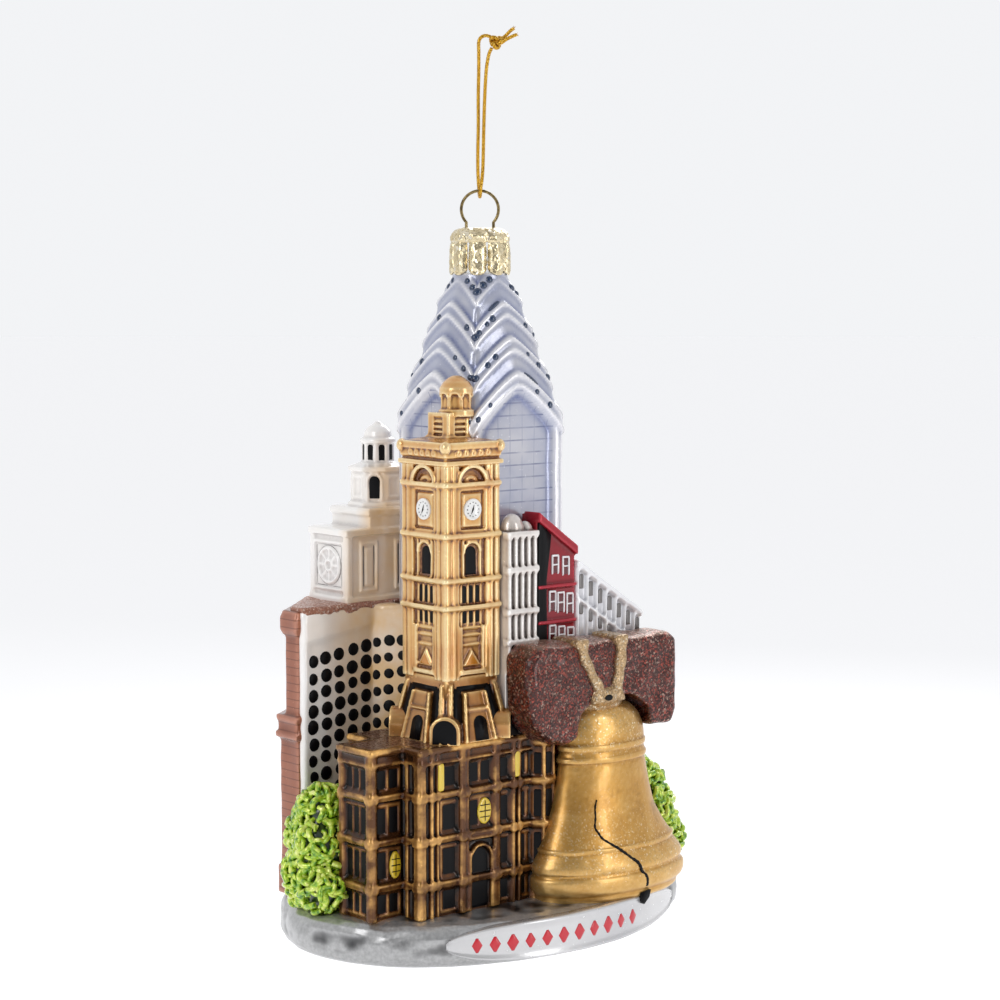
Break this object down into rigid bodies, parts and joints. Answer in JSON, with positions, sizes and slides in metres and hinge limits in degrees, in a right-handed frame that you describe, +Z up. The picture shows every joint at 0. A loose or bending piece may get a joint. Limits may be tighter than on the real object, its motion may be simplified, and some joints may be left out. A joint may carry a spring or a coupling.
{
  "type": "hanging glass christmas ornament",
  "caption": "Blown-glass city skyline ornament with towers, hall and bell on an oval base, under a metal cap, wire ring and gold cord.",
  "frame": {"origin": "inside the top of the cord's eye, where a hook holds the ornament", "axes": "+Z up, -Y towards the viewer of the front, +X to the viewer's right; the buildings' street grid is turned 40 degrees about Z"},
  "size_m": [0.0826, 0.083, 0.1805],
  "materials": {
    "stone_silver": "silvered glass, grey lacquer rubbed into the hollows",
    "plaque_white": "pearl white enamel, gloss",
    "pearl_blue": "pearl lacquer over silvered glass, gloss",
    "clear_neck": "plain blown glass, silvered inside",
    "cream_gold": "cream and gold lacquer with brown shading, satin gloss",
    "dial_white": "white enamel with painted hands",
    "brown_gold": "brown lacquer with antique gold edges, gloss",
    "roof_glitter": "brown glitter bonded on glass",
    "pearl_white": "pearl white lacquer, gloss",
    "brick_red": "red-brown lacquer, satin",
    "house_red": "deep red lacquer, gloss",
    "silver_white": "silver white lacquer, gloss",
    "wood_glitter": "red-brown glitter bonded on glass",
    "gold_glitter": "pale gold glitter bonded on glass",
    "bell_gold": "antique gold lacquer with a dusting of glitter",
    "leaf_green": "bright green lacquer, gloss, dark in the hollows",
    "cap_metal": "pale gold plated, hammered",
    "wire_brass": "antique brass",
    "gold_cord": "braided metallic thread"
  },
  "bodies": {
    "cord": {"cord_loop": "gold_cord", "cord_knot": "gold_cord", "cord_tails": "gold_cord"},
    "hanger": {"hanger_wire": "wire_brass"},
    "cap": {"cap": "cap_metal"},
    "glass": {"base": "stone_silver", "banner": "plaque_white", "skyscraper_shaft": "pearl_blue", "skyscraper_crown": "pearl_blue", "neck": "clear_neck", "clock_tower_shaft": "cream_gold", "clock_tower_belfry": "cream_gold", "clock_tower_dome": "cream_gold", "clock_dials": "dial_white", "tower_buttresses": "brown_gold", "hall_pavilion": "brown_gold", "hall_wing": "brown_gold", "hall_roof": "roof_glitter", "steeple_block": "pearl_white", "steeple_drum": "pearl_white", "steeple_lantern": "pearl_white", "steeple_dome": "pearl_white", "window_block": "pearl_white", "window_panel": "pearl_white", "brick_wall": "brick_red", "column_house": "pearl_white", "red_house": "house_red", "white_terrace": "silver_white", "yoke": "wood_glitter", "yoke_straps": "gold_glitter", "bell": "bell_gold", "bush_left": "leaf_green", "bush_right": "leaf_green"}
  },
  "joints": [
    {"name": "ring_swing", "type": "hinge", "parent": "cord", "child": "hanger", "pos_m": [-0.0012, 0, -0.03005], "axis": [1, 0, 0], "range_deg": [-60, 60]},
    {"name": "ring_slide", "type": "slide", "parent": "hanger", "child": "cap", "axis": [0, 0, 1], "range_m": [0, 0.0009]},
    {"name": "glass_pull", "type": "slide", "parent": "cap", "child": "glass", "axis": [0, 0, -1], "range_m": [0, 0.022]}
  ]
}
